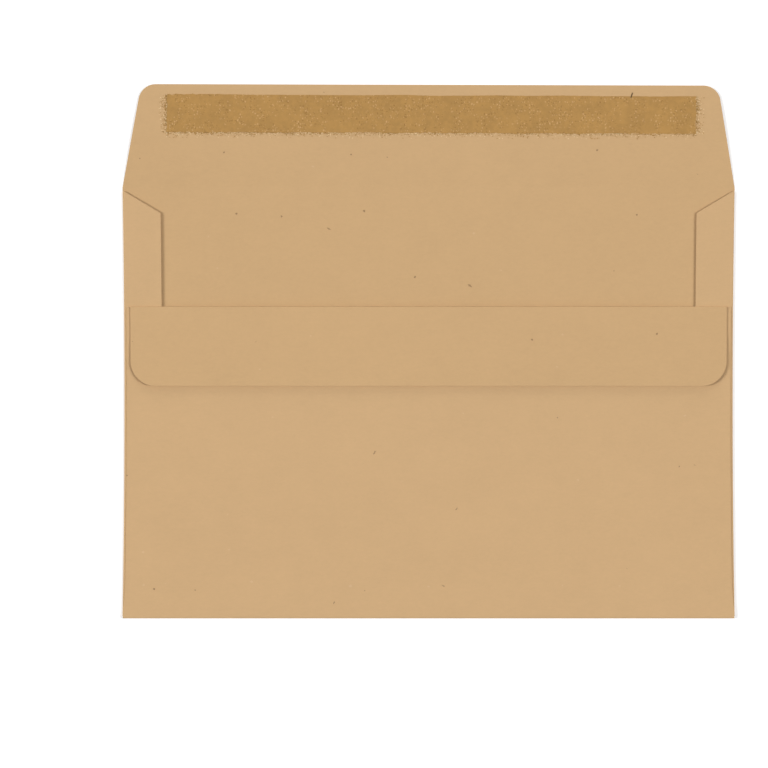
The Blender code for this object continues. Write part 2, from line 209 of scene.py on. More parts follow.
class Folds:
    """Where a point of the flat sheet lies on the folded envelope."""

    tolerance = 1e-7
    # Stretches past a fold over which the back's waves, the flap's waves and the droop grow in
    back_settle = 0.02
    flap_settle = 0.012
    droop_settle = 0.006
    # Margin beside the tuck flap's side edge that hangs down
    droop_width = 0.007
    # Waves of the main flap across and along, per metre, and how much closer the back's lie along
    flap_waves = (26, 40)
    back_squeeze = 1.3
    # Planes of the noise that the waves are cut from
    back_noise = 3.0
    flap_noise = 9.0

    def __init__(self, sizes, films):
        self.sizes = sizes
        self.paper = films.paper
        self.half_width = sizes.body_width / 2
        self.top = sizes.body_height / 2
        self.throat = self.top - sizes.throat_depth
        side_radius = sizes.side_fold_radius
        back_radius = side_radius + (films.paper + films.gum) / 2 + films.clearance
        tuck_radius = sizes.tuck_fold_radius
        self.side_bend = self.half_width - side_radius - films.paper
        self.bottom_bend = -self.top + back_radius + films.paper
        self.tuck_bend = self.throat - tuck_radius - films.paper
        self.side_top = self.top - sizes.side_flap_top_gap
        self.side_bottom = self.bottom_bend + sizes.side_flap_bottom_gap
        self.side_arc = math.pi * (side_radius + films.paper / 2)
        self.back_arc = math.pi * (back_radius + films.paper / 2)
        tuck_turn = math.pi - sizes.tuck_lift
        self.tuck_arc = tuck_turn * (tuck_radius + films.paper / 2)
        self.side_length = self.side_bend - (self.half_width - sizes.side_flap_width)
        self.back_length = self.tuck_bend - self.bottom_bend
        self.tuck_length = sizes.tuck_depth - (self.throat - self.tuck_bend)
        steps = sizes.fold_steps
        # Runs of the sheet outward from the address panel: length, turn, mesh steps
        self.flap_runs = self.stepped([
            (sizes.crease_length, sizes.crease_angle, 4),
            (sizes.flap_depth - sizes.crease_length, -sizes.flap_curl, None),
        ])
        self.side_runs = self.stepped([
            (self.side_arc, math.pi, steps),
            (self.side_length, 0.0, None),
        ])
        self.back_runs = self.stepped([
            (self.back_arc, math.pi, steps),
            (self.back_length, 0.0, None),
            (self.tuck_arc, -tuck_turn, steps),
            (self.tuck_length, -sizes.tuck_curl, None),
        ])

    def stepped(self, runs):
        """Give each long run as many mesh steps as the grid asks for."""
        grid = self.sizes.grid
        return [(run, turn, steps or max(2, round(run / grid))) for run, turn, steps in runs]

    @staticmethod
    def stops(runs):
        """Distances along the runs at which the flat sheet is cut so that it can bend."""
        found = []
        start = 0.0
        for run, _turn, steps in runs:
            found.extend(start + run * step / steps for step in range(steps))
            start += run
        return found

    @staticmethod
    def follow(runs, distance, offset):
        """Outward and upward travel after a distance along the runs, offset square to the paper."""
        out = up = heading = 0.0
        for run, turn, _steps in runs:
            part = min(distance, run)
            if turn:
                radius = run / turn
                turned = heading + part / radius
                out += radius * (math.sin(turned) - math.sin(heading))
                up += radius * (math.cos(heading) - math.cos(turned))
                heading = turned
            else:
                out += part * math.cos(heading)
                up += part * math.sin(heading)
            distance -= part
        return out - offset * math.sin(heading), up + offset * math.cos(heading)

    @staticmethod
    def share(value, full):
        """How far a value has come towards the full one, from 0 to 1."""
        return min(max(0.0, value / full), 1.0)

    def ripple(self, x, y):
        """Height of gentle waves that fade out towards the side folds."""
        scale = 1 / self.sizes.ripple_length
        place = Vector((x * scale, y * scale * self.back_squeeze, self.back_noise))
        wave = noise.noise(place) * 0.5 + 0.5
        across = max(0.0, 1.0 - (x / self.side_bend) ** 4)
        return self.sizes.ripple_height * wave * across

    def bow(self, x, y):
        """Rise of the back layers: none at the folds, most in the middle of the throat."""
        across = max(0.0, 1.0 - (x / self.side_bend) ** 2)
        along = self.share(y - self.bottom_bend, self.throat - self.bottom_bend)
        rise = self.sizes.bow_height * across * math.sin(along * math.pi / 2)
        return rise + self.ripple(x, y) * self.share(y - self.bottom_bend, self.back_settle)

    def droop(self, u, v):
        """How far the tuck flap hangs down towards its side edges, from its fold on."""
        along = self.bottom_bend - v - self.back_arc - self.back_length - self.tuck_arc
        from_edge = self.half_width - self.sizes.tuck_inset - abs(u)
        near_edge = 1.0 - self.share(from_edge, self.droop_width)
        return self.sizes.tuck_droop * near_edge * self.share(along, self.droop_settle)

    def drawn_in(self, x, y):
        """Sideways place of a point once the side folds have drawn in at mid-height."""
        waist = self.sizes.side_waist * max(0.0, 1.0 - (y / self.top) ** 2)
        return x * (1.0 - waist / self.half_width)

    def place(self, u, v, w):
        """Place a point of the flat sheet, at height w above its outer face."""
        middle = self.paper / 2
        offset = w - middle
        if v > self.top - self.tolerance:
            reach = v - self.top
            out, up = self.follow(self.flap_runs, reach, offset)
            lean = reach * math.tan(self.sizes.flap_skew)
            drop = u * math.tan(self.sizes.flap_tip_slope) * reach / self.sizes.flap_depth
            across, along = self.flap_waves
            wave = noise.noise(Vector((u * across, v * along, self.flap_noise))) + 0.5
            wave *= self.sizes.ripple_height * self.share(out, self.flap_settle)
            return u + lean, self.top + out - drop, middle + up + wave
        if v < self.bottom_bend:
            out, up = self.follow(self.back_runs, self.bottom_bend - v, offset)
            y = self.bottom_bend - out
            return self.drawn_in(u, y), y, middle + up + self.bow(u, y) - self.droop(u, v)
        in_side = self.side_bottom - self.tolerance < v < self.side_top + self.tolerance
        if in_side and abs(u) > self.side_bend:
            out, up = self.follow(self.side_runs, abs(u) - self.side_bend, offset)
            x = math.copysign(self.side_bend + out, u)
            return self.drawn_in(x, v), v, middle + up + self.bow(x, v)
        return self.drawn_in(u, v), v, w


def round_corner(before, corner, after, radius, steps=14):
    """Points of the arc that replaces a corner between two straight edges."""
    to_before = math.atan2(before[1] - corner[1], before[0] - corner[0])
    to_after = math.atan2(after[1] - corner[1], after[0] - corner[0])
    half_angle = math.remainder(to_after - to_before, math.tau) / 2
    middle = to_before + half_angle
    reach = radius / math.sin(abs(half_angle))
    centre_u = corner[0] + reach * math.cos(middle)
    centre_v = corner[1] + reach * math.sin(middle)
    sweep = math.copysign(math.pi / 2 - abs(half_angle), half_angle)
    points = []
    for step in range(steps + 1):
        at = middle + math.pi + sweep * (1 - 2 * step / steps)
        points.append((centre_u + radius * math.cos(at), centre_v + radius * math.sin(at)))
    return points


def rounded_outline(corners):
    """Closed outline through corners given as (u, v, radius)."""
    outline = []
    for index, (u, v, radius) in enumerate(corners):
        if radius:
            before = corners[index - 1]
            after = corners[(index + 1) % len(corners)]
            outline.extend(round_corner(before, (u, v), after, radius))
        else:
            outline.append((u, v))
    return outline


def blank_outline(folds):
    """Outline of the flat die-cut sheet, counterclockwise from its lower right corner."""
    sizes = folds.sizes
    tuck_half = folds.half_width - sizes.tuck_inset
    back_half = folds.half_width - sizes.back_inset
    flare_half = folds.half_width - sizes.back_flare_inset
    back_end = folds.bottom_bend - folds.back_arc
    throat_start = back_end - folds.back_length
    throat_end = throat_start - folds.tuck_arc
    side_fold_end = folds.side_bend + folds.side_arc
    side_edge = side_fold_end + folds.side_length
    side_bottom, side_top = folds.side_bottom, folds.side_top
    mitre_start = side_fold_end + sizes.side_flap_square_end - (folds.half_width - folds.side_bend)
    top_mitre = (side_edge - mitre_start) * math.tan(sizes.side_flap_top_mitre)
    bottom_mitre = (side_edge - side_fold_end) * math.tan(sizes.side_flap_bottom_mitre)
    tip_half = folds.half_width - sizes.flap_depth * math.tan(sizes.flap_draft)
    right = [
        (tuck_half, throat_end - folds.tuck_length, sizes.tuck_corner),
        (tuck_half, throat_end, 0.0),
        (back_half, throat_start, 0.0),
        (back_half, back_end - sizes.back_flare_height, 0.0),
        (flare_half, back_end, 0.0),
        (flare_half, side_bottom - sizes.corner_slit, 0.0),
        (folds.side_bend, side_bottom, 0.0),
        (side_fold_end, side_bottom, 0.0),
        (side_edge, side_bottom + bottom_mitre, sizes.side_flap_corner),
        (side_edge, side_top - top_mitre, sizes.side_flap_corner),
        (mitre_start, side_top, 0.0),
        (folds.side_bend, side_top, 0.0),
        (folds.half_width, side_top + sizes.corner_slit, 0.0),
        (folds.half_width, folds.top, 0.0),
        (tip_half, folds.top + sizes.flap_depth, sizes.flap_corner),
    ]
    left = [(-u, v, radius) for u, v, radius in reversed(right)]
    return rounded_outline(right + left)


def cut_line(flat, axis, position, wanted=None):
    """Cut the wanted faces of the flat mesh along one straight line."""
    faces = [face for face in flat.faces if wanted is None or wanted(face.calc_center_bounds())]
    edges = {edge for face in faces for edge in face.edges}
    points = {point for face in faces for point in face.verts}
    place = [0.0, 0.0, 0.0]
    place[axis] = position
    normal = [0.0, 0.0, 0.0]
    normal[axis] = 1.0
    bmesh.ops.bisect_plane(flat, geom=faces + list(edges) + list(points), dist=Folds.tolerance,
                           plane_co=place, plane_no=normal)


def cut_for_folding(flat, folds):
    """Cut the flat mesh at the folds, and on a grid where the paper bows and ripples."""
    lows = [min(point.co[axis] for point in flat.verts) for axis in (0, 1)]
    highs = [max(point.co[axis] for point in flat.verts) for axis in (0, 1)]

    def between(low, value, high):
        return low - folds.sizes.grid < value < high + folds.sizes.grid

    def in_body(centre):
        return folds.bottom_bend < centre.y < folds.top

    def in_side(centre):
        return folds.side_bottom < centre.y < folds.side_top

    for stop in folds.stops(folds.flap_runs):
        if between(lows[1], folds.top + stop, highs[1]):
            cut_line(flat, 1, folds.top + stop)
    for stop in folds.stops(folds.back_runs):
        if between(lows[1], folds.bottom_bend - stop, highs[1]):
            cut_line(flat, 1, folds.bottom_bend - stop)
    for stop in folds.stops(folds.side_runs):
        for side in (1, -1):
            if between(lows[0], side * (folds.side_bend + stop), highs[0]):
                cut_line(flat, 0, side * (folds.side_bend + stop), in_side)
    rows = round((folds.top - folds.bottom_bend) / folds.sizes.grid)
    for row in range(1, rows):
        v = folds.bottom_bend + (folds.top - folds.bottom_bend) * row / rows
        if between(lows[1], v, highs[1]):
            cut_line(flat, 1, v, in_body)
    columns = round(2 * folds.side_bend / folds.sizes.grid)
    for column in range(1, columns):
        u = folds.side_bend * (2 * column / columns - 1)
        if between(lows[0], u, highs[0]):
            cut_line(flat, 0, u)


def folded_bodies(folds, outlines, low, high, solid=None, slots=(OUTER_FACE, INNER_FACE, CUT_EDGE)):
    """Closed mesh of the outlines between two heights above the outer face, after folding."""
    if solid is None:
        solid = bmesh.new()
    outer, inner, cut = slots
    for outline in outlines:
        flat = bmesh.new()
        flat.faces.new([flat.verts.new((u, v, 0.0)) for u, v in outline])
        cut_for_folding(flat, folds)
        bmesh.ops.triangulate(flat, faces=[face for face in flat.faces if len(face.verts) > 4])
        flat.verts.index_update()
        under = [solid.verts.new(folds.place(p.co.x, p.co.y, low)) for p in flat.verts]
        over = [solid.verts.new(folds.place(p.co.x, p.co.y, high)) for p in flat.verts]
        for face in flat.faces:
            ring = [point.index for point in face.verts]
            solid.faces.new([over[index] for index in ring]).material_index = inner
            solid.faces.new([under[index] for index in reversed(ring)]).material_index = outer
        for edge in flat.edges:
            if edge.is_boundary:
                loop = edge.link_loops[0]
                first, second = loop.vert.index, loop.link_loop_next.vert.index
                side = (over[second], over[first], under[first], under[second])
                solid.faces.new(side).material_index = cut
        flat.free()
    return solid


def add_object(context, name, solid, materials):
    """Turn a mesh being built into a named object with its materials."""
    sharp = math.radians(40)
    mesh = bpy.data.meshes.new(name)
    solid.to_mesh(mesh)
    solid.free()
    for material in materials:
        mesh.materials.append(material)
    mesh.shade_smooth()
    mesh.set_sharp_from_angle(angle=sharp)
    piece = bpy.data.objects.new(name, mesh)
    context.scene.collection.objects.link(piece)
    # Keeps the shading of the flat stretches from leaning towards the folds
    piece.modifiers.new("flat_shading", "WEIGHTED_NORMAL").keep_sharp = True
    return piece


def stand_for(piece, node):
    """The piece rides on the body in place of a node, which it hides."""
    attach(piece, BODY)
    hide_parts(node)


def bare_tree(owner):
    """Emptied node tree of a material or a world."""
    owner.use_nodes = True
    owner.node_tree.nodes.clear()
    return owner.node_tree


def clear_shader(material):
    """Give a material a bare node tree with its Principled shader, and return both."""
    tree = bare_tree(material)
    output = tree.nodes.new("ShaderNodeOutputMaterial")
    shader = tree.nodes.new("ShaderNodeBsdfPrincipled")
    tree.links.new(shader.outputs["BSDF"], output.inputs["Surface"])
    return tree, shader


def new_group(name, inputs, outputs):
    """Empty shader node group with named sockets, its input node and its output node."""
    tree = bpy.data.node_groups.new(name, "ShaderNodeTree")
    for socket, kind, default in inputs:
        made = tree.interface.new_socket(name=socket, in_out="INPUT", socket_type=kind)
        if default is not None:
            made.default_value = default
    for socket, kind in outputs:
        tree.interface.new_socket(name=socket, in_out="OUTPUT", socket_type=kind)
    return tree, tree.nodes.new("NodeGroupInput"), tree.nodes.new("NodeGroupOutput")


def put(tree, kind, **settings):
    """Add a node with its settings."""
    made = tree.nodes.new(kind)
    for key, value in settings.items():
        setattr(made, key, value)
    return made


def feed(tree, target, value):
    """Link a socket to another, or set it to a plain value."""
    if isinstance(value, bpy.types.NodeSocket):
        tree.links.new(value, target)
    else:
        target.default_value = value


def maths(tree, operation, first, second=0.0, clamp=False):
    """Output of a Math node on two values."""
    made = put(tree, "ShaderNodeMath", operation=operation, use_clamp=clamp)
    feed(tree, made.inputs[0], first)
    feed(tree, made.inputs[1], second)
    return made.outputs[0]


def vector_maths(tree, operation, first, second):
    """Output of a Vector Math node on two vectors."""
    made = put(tree, "ShaderNodeVectorMath", operation=operation)
    feed(tree, made.inputs[0], first)
    feed(tree, made.inputs[1], second)
    return made.outputs[0]


def mix_colour(tree, factor, first, second):
    """Output of a colour mix."""
    made = put(tree, "ShaderNodeMix", data_type="RGBA")
    feed(tree, made.inputs[0], factor)
    feed(tree, made.inputs[6], first)
    feed(tree, made.inputs[7], second)
    return made.outputs[2]


def noise_value(tree, position, scale, detail, seed, roughness=0.55):
    """Output of a Noise texture whose pattern changes with the seed."""
    made = put(tree, "ShaderNodeTexNoise", noise_dimensions="4D")
    feed(tree, made.inputs["Vector"], position)
    feed(tree, made.inputs["W"], seed)
    made.inputs["Scale"].default_value = scale
    made.inputs["Detail"].default_value = detail
    made.inputs["Roughness"].default_value = roughness
    return made.outputs["Fac"]


def ramp(tree, value, low, high):
    """Map a value smoothly from 0 at low to 1 at high."""
    made = put(tree, "ShaderNodeMapRange", interpolation_type="SMOOTHSTEP")
    feed(tree, made.inputs["Value"], value)
    feed(tree, made.inputs["From Min"], low)
    feed(tree, made.inputs["From Max"], high)
    return made.outputs["Result"]


def formation_group():
    """Cloudy formation and fine fibre grain of uncoated paper."""
    tree, source, result = new_group(
        "Paper Formation",
        [("Position", "NodeSocketVector", None), ("Seed", "NodeSocketFloat", 0.0)],
        [("Tone", "NodeSocketFloat"), ("Height", "NodeSocketFloat")],
    )
    position, seed = source.outputs["Position"], source.outputs["Seed"]
    along = vector_maths(tree, "MULTIPLY", position, (0.45, 1.0, 1.0))
    cloud = noise_value(tree, position, 110.0, 3.0, seed)
    patch = noise_value(tree, position, 26.0, 2.0, seed)
    grain = noise_value(tree, along, 1900.0, 3.0, seed, 0.7)
    fibre = noise_value(tree, along, 620.0, 4.0, seed, 0.65)
    tone = 0.0
    for layer, weight in ((cloud, 0.55), (patch, 0.5), (grain, 0.9), (fibre, 0.6)):
        swing = maths(tree, "MULTIPLY", maths(tree, "SUBTRACT", layer, 0.5), weight)
        tone = maths(tree, "ADD", tone, swing)
    feed(tree, result.inputs["Tone"], maths(tree, "ADD", tone, 0.5, clamp=True))
    height = maths(tree, "ADD", maths(tree, "MULTIPLY", grain, 0.6), maths(tree, "MULTIPLY", fibre, 0.4))
    feed(tree, result.inputs["Height"], height)
    return tree


def speck_group():
    """Sparse small specks of uneven size and outline, at most one to each cell of a grid."""
    tree, source, result = new_group(
        "Scattered Specks",
        [
            ("Position", "NodeSocketVector", None),
            ("Seed", "NodeSocketFloat", 0.0),
            ("Spacing", "NodeSocketFloat", 0.012),
            ("Size", "NodeSocketFloat", 0.0004),
            ("Share", "NodeSocketFloat", 0.5),
            ("Stretch", "NodeSocketVector", (1.0, 1.0, 1.0)),
        ],
        [("Mask", "NodeSocketFloat")],
    )
    sockets = source.outputs
    stretched = vector_maths(tree, "MULTIPLY", sockets["Position"], sockets["Stretch"])
    # Fine noise that shakes the outlines by a quarter of a millimetre at most
    wander = put(tree, "ShaderNodeTexNoise", noise_dimensions="3D")
    feed(tree, wander.inputs["Vector"], sockets["Position"])
    wander.inputs["Scale"].default_value = 2600.0
    centred = vector_maths(tree, "SUBTRACT", wander.outputs["Color"], (0.5, 0.5, 0.5))
    shaken = vector_maths(tree, "MULTIPLY", centred, (0.0005, 0.0005, 0.0))
    moved = vector_maths(tree, "ADD", stretched, shaken)
    # Each seed moves the grid of cells elsewhere
    shift = put(tree, "ShaderNodeCombineXYZ")
    feed(tree, shift.inputs[0], maths(tree, "MULTIPLY", sockets["Seed"], 0.37))
    feed(tree, shift.inputs[1], maths(tree, "MULTIPLY", sockets["Seed"], 0.53))
    placed = vector_maths(tree, "ADD", moved, shift.outputs[0])
    cells = put(tree, "ShaderNodeTexVoronoi", voronoi_dimensions="2D", feature="F1")
    feed(tree, cells.inputs["Vector"], placed)
    feed(tree, cells.inputs["Scale"], maths(tree, "DIVIDE", 1.0, sockets["Spacing"]))
    # A cell's red sets how large its speck is, and its green whether it has one
    channels = put(tree, "ShaderNodeSeparateColor")
    feed(tree, channels.inputs[0], cells.outputs["Color"])
    reach = maths(tree, "DIVIDE", sockets["Size"], sockets["Spacing"])
    reach = maths(tree, "MULTIPLY", reach, maths(tree, "ADD", channels.outputs[0], 0.35))
    near = ramp(tree, cells.outputs["Distance"], reach, maths(tree, "MULTIPLY", reach, 0.55))
    there = maths(tree, "LESS_THAN", channels.outputs[1], sockets["Share"])
    feed(tree, result.inputs["Mask"], maths(tree, "MULTIPLY", near, there))
    return tree


def fibre_group():
    """One short dark fibre at a chosen place, leaning by a chosen turn."""
    tree, source, result = new_group(
        "Dark Fibre",
        [
            ("Position", "NodeSocketVector", None),
            ("Centre", "NodeSocketVector", (0.0, 0.0, 0.0)),
            ("Turn", "NodeSocketFloat", 0.0),
            ("Length", "NodeSocketFloat", 0.0019),
            ("Width", "NodeSocketFloat", 0.00048),
        ],
        [("Mask", "NodeSocketFloat")],
    )
    sockets = source.outputs
    turned = put(tree, "ShaderNodeVectorRotate", rotation_type="Z_AXIS")
    feed(tree, turned.inputs["Vector"], sockets["Position"])
    feed(tree, turned.inputs["Center"], sockets["Centre"])
    feed(tree, turned.inputs["Angle"], sockets["Turn"])
    place = put(tree, "ShaderNodeSeparateXYZ")
    feed(tree, place.inputs[0], vector_maths(tree, "SUBTRACT", turned.outputs[0], sockets["Centre"]))
    masks = []
    for axis, size in ((0, "Width"), (1, "Length")):
        half = maths(tree, "MULTIPLY", sockets[size], 0.5)
        away = maths(tree, "ABSOLUTE", place.outputs[axis])
        masks.append(ramp(tree, away, half, maths(tree, "MULTIPLY", half, 0.5)))
    feed(tree, result.inputs["Mask"], maths(tree, "MULTIPLY", *masks))
    return tree


def use_group(tree, group, **values):
    """Place a node group, with its inputs linked or set by name."""
    made = put(tree, "ShaderNodeGroup", node_tree=group)
    for name, value in values.items():
        feed(tree, made.inputs[name], value)
    return made


def with_marks(tree, group, tint, paint, strength, **values):
    """Lay the marks of a node group over a colour, in their own colour."""
    marks = use_group(tree, group, **values)
    return mix_colour(tree, maths(tree, "MULTIPLY", marks.outputs["Mask"], strength), tint, tuple(paint))


def with_fibre(tree, groups, position, tint, finish):
    """Lay the dark fibre that crosses the strip's top edge over a colour."""
    return with_marks(tree, groups["fibre"], tint, finish.fibre, 0.9, Position=position,
                      Centre=tuple(finish.fibre_place), Turn=finish.fibre_turn)


def add_bump(tree, shader, height, strength, distance):
    """Give a shader a fine relief."""
    bump = put(tree, "ShaderNodeBump")
    bump.inputs["Strength"].default_value = strength
    bump.inputs["Distance"].default_value = distance
    feed(tree, bump.inputs["Height"], height)
    feed(tree, shader.inputs["Normal"], bump.outputs["Normal"])


def scaled(values, factor):
    """A colour made lighter or darker."""
    return tuple(min(1.0, part * factor) for part in values[:3]) + (1.0,)


def paper_material(name, base, finish, groups, seed, fibre=False):
    """Uncoated manila paper with grain, dark specks and pale fibres."""
    contrast = 0.055
    specks = groups["speck"]
    material = bpy.data.materials.new(name)
    tree, shader = clear_shader(material)
    position = put(tree, "ShaderNodeTexCoord").outputs["Object"]
    formation = use_group(tree, groups["formation"], Position=position, Seed=seed)
    tint = mix_colour(tree, formation.outputs["Tone"], scaled(base, 1 - contrast),
                      scaled(base, 1 + contrast))
    tint = with_marks(tree, specks, tint, finish.pale, 0.22, Position=position, Seed=seed + 4.0,
                      Spacing=0.009, Size=0.0003, Share=0.2, Stretch=(0.7, 1.0, 1.0))
    tint = with_marks(tree, specks, tint, finish.shive, 0.7, Position=position, Seed=seed + 1.0,
                      Spacing=0.016, Size=0.0003, Share=0.2)
    # Splinters of wood that lean two ways
    for shift, turn in ((2.0, 0.5), (3.0, -1.1)):
        slanted = put(tree, "ShaderNodeVectorRotate", rotation_type="Z_AXIS")
        feed(tree, slanted.inputs["Vector"], position)
        slanted.inputs["Angle"].default_value = turn
        tint = with_marks(tree, specks, tint, finish.shive, 0.6, Position=slanted.outputs[0],
                          Seed=seed + shift, Spacing=0.017, Size=0.00022, Share=0.16,
                          Stretch=(1.0, 0.4, 1.0))
    if fibre:
        tint = with_fibre(tree, groups, position, tint, finish)
    feed(tree, shader.inputs["Base Color"], tint)
    shader.inputs["Roughness"].default_value = 0.82
    shader.inputs["Specular IOR Level"].default_value = 0.25
    add_bump(tree, shader, formation.outputs["Height"], 0.35, 0.00003)
    return material


def latex_material(finish, groups):
    """Dried latex over paper: a mottled brown film with thin spots and short dark marks."""
    material = bpy.data.materials.new("dried_latex")
    tree, shader = clear_shader(material)
    position = put(tree, "ShaderNodeTexCoord").outputs["Object"]
    mottle = noise_value(tree, position, 900.0, 4.0, 3.0, 0.6)
    broad = noise_value(tree, position, 170.0, 3.0, 5.0)
    tone = maths(tree, "ADD", maths(tree, "MULTIPLY", mottle, 0.5), maths(tree, "MULTIPLY", broad, 0.5))
    tint = mix_colour(tree, ramp(tree, tone, 0.35, 0.65), scaled(finish.latex, 0.91),
                      scaled(finish.latex, 1.09))
    clusters = ramp(tree, noise_value(tree, position, 300.0, 2.0, 7.0), 0.38, 0.56)
    dark = maths(tree, "MULTIPLY", clusters, 0.6)
    for seed, stretch in ((11.0, (1.0, 0.6, 1.0)), (12.0, (0.6, 1.0, 1.0))):
        tint = with_marks(tree, groups["speck"], tint, finish.latex_dark, dark, Position=position,
                          Seed=seed, Spacing=0.0006, Size=0.00015, Share=0.55, Stretch=stretch)
    thin = maths(tree, "MULTIPLY", clusters, 0.65)
    tint = with_marks(tree, groups["speck"], tint, finish.latex_pale, thin, Position=position,
                      Seed=13.0, Spacing=0.0006, Size=0.00016, Share=0.65, Stretch=(0.9, 0.7, 1.0))
    feed(tree, shader.inputs["Base Color"], with_fibre(tree, groups, position, tint, finish))
    feed(tree, shader.inputs["Roughness"], maths(tree, "ADD", maths(tree, "MULTIPLY", mottle, 0.25), 0.55))
    shader.inputs["Specular IOR Level"].default_value = 0.3
    add_bump(tree, shader, mottle, 0.6, 0.00005)
    return material


def painted_glint_drop_material(finish):
    """Thin latex drops given a pale base colour that is a painted glint, standing in for the light they
    catch.
    """
    material = bpy.data.materials.new("thin_latex_painted_glint")
    _tree, shader = clear_shader(material)
    # Painted glint: a base colour lighter than the paper stands in for the light the drops catch
    shader.inputs["Base Color"].default_value = tuple(finish.latex_drop_glint)
    shader.inputs["Roughness"].default_value = 0.5
    shader.inputs["Specular IOR Level"].default_value = 0.3
    return material


def gum_material(finish, groups):
    """Dried seam gum, a smooth film soaked into the paper's grain."""
    material = bpy.data.materials.new("dried_seam_gum")
    tree, shader = clear_shader(material)
    position = put(tree, "ShaderNodeTexCoord").outputs["Object"]
    formation = use_group(tree, groups["formation"], Position=position, Seed=21.0)
    tint = mix_colour(tree, formation.outputs["Tone"], scaled(finish.gum, 0.9), scaled(finish.gum, 1.1))
    feed(tree, shader.inputs["Base Color"], tint)
    shader.inputs["Roughness"].default_value = 0.4
    return material


def ragged_strip(films, u_low, u_high, v_low, v_high, crisp_top):
    """Outline of a film whose edges stray. A crisp top strays less and less from its left end on."""
    step = films.ragged_step
    stray = films.ragged_edge
    crispness = 0.75
    long_scale = 0.13
    fine_scale = 2.7
    fine_strength = 0.6

    def wander(u, v, amount):
        place = Vector((u / EDGE_GRAIN, v / EDGE_GRAIN, films.seed))
        long_wave = films.strip_wave * noise.noise(place * long_scale)
        return long_wave + amount * (noise.noise(place) + fine_strength * noise.noise(place * fine_scale))

    points = []
    across = int((u_high - u_low) / step)
    down = int((v_high - v_low) / step)
    for index in range(across):
        u = u_low + (u_high - u_low) * index / across
        points.append((u, v_low + wander(u, v_low, stray)))
    for index in range(down):
        v = v_low + (v_high - v_low) * index / down
        points.append((u_high + wander(u_high, v, stray), v))
    for index in range(across):
        u = u_high - (u_high - u_low) * index / across
        crisp = min(1.0, (u - u_low) / films.ragged_top) if crisp_top else 0.0
        points.append((u, v_high + wander(u, v_high, stray * (1.0 - crispness * crisp))))
    for index in range(down):
        v = v_high - (v_high - v_low) * index / down
        points.append((u_low + wander(u_low, v, stray), v))
    return points


def spatter(films, u_low, u_high, v_low, v_high, drops_wanted, seed):
    """Outlines of the small drops past the strip's lower edge and ends."""
    chance = random.Random(seed)
    # The ends get more drops for their length than the lower edge, and throw them further
    end_weight = 5
    lower_throw = 0.7
    longest_throw = 4.0
    # Drops are wider than high, and more than this share of them stays only in clusters
    sideways_stretch = 1.3
    usual_share = 0.8
    drops = []
    lower_share = (u_high - u_low) / (u_high - u_low + end_weight * (v_high - v_low))
    for _drop in range(drops_wanted):
        away = min(chance.expovariate(1.0), longest_throw) * films.spatter_reach
        if chance.random() < lower_share:
            u = chance.uniform(u_low, u_high)
            v = v_low - lower_throw * away
        else:
            v = chance.uniform(v_low - 0.5 * films.spatter_reach, v_high)
            u = u_low - away if chance.random() < 0.5 else u_high + away
        if chance.random() > usual_share + noise.noise(Vector((u, v, 0.0)) / DROP_CLUSTER):
            continue
        radius = chance.uniform(*DROP_RADII)
        turn = chance.uniform(0, math.tau)
        sides = chance.randint(6, 9)
        drop = []
        for side in range(sides):
            at = turn + math.tau * side / sides
            reach = radius * chance.uniform(0.65, 1.25)
            drop.append((u + sideways_stretch * reach * math.cos(at), v + reach * math.sin(at)))
        drops.append(drop)
    return drops


def background_rays(tree):
    """1 for the rays that show the background, straight to the camera or by way of metal or glass."""
    rays = put(tree, "ShaderNodeLightPath")
    seen = maths(tree, "MAXIMUM", rays.outputs["Is Camera Ray"], rays.outputs["Is Glossy Ray"])
    return maths(tree, "MAXIMUM", seen, rays.outputs["Is Transmission Ray"])


def strip_span(folds, films):
    """Ends and near and far edges of the flap's strip on the flat sheet."""
    far = folds.top + folds.sizes.flap_depth - films.strip_tip_margin
    return STRIP_LOW[0], STRIP_HIGH[0], far - films.strip_depth, far


class ENVELOPE_OT_folded_sheet(Operator):
    """Fold the paper sheet of the envelope"""

    bl_idname = "envelope.folded_sheet"
    bl_label = "Folded Sheet"

    def execute(self, context):
        scene = context.scene
        folds = Folds(scene.envelope_sheet, scene.envelope_films)
        finish = scene.envelope_finish
        groups = shared_groups()
        solid = folded_bodies(folds, [blank_outline(folds)], 0.0, folds.paper)
        materials = [
            paper_material("manila_outer_face", finish.outer, finish, groups, 1.0),
            paper_material("manila_inner_face", finish.inner, finish, groups, 31.0, fibre=True),
            paper_material("manila_cut_edge", finish.edge, finish, groups, 61.0),
        ]
        piece = add_object(context, "envelope_sheet", solid, materials)
        stand_for(piece, "envelope")
        return {"FINISHED"}


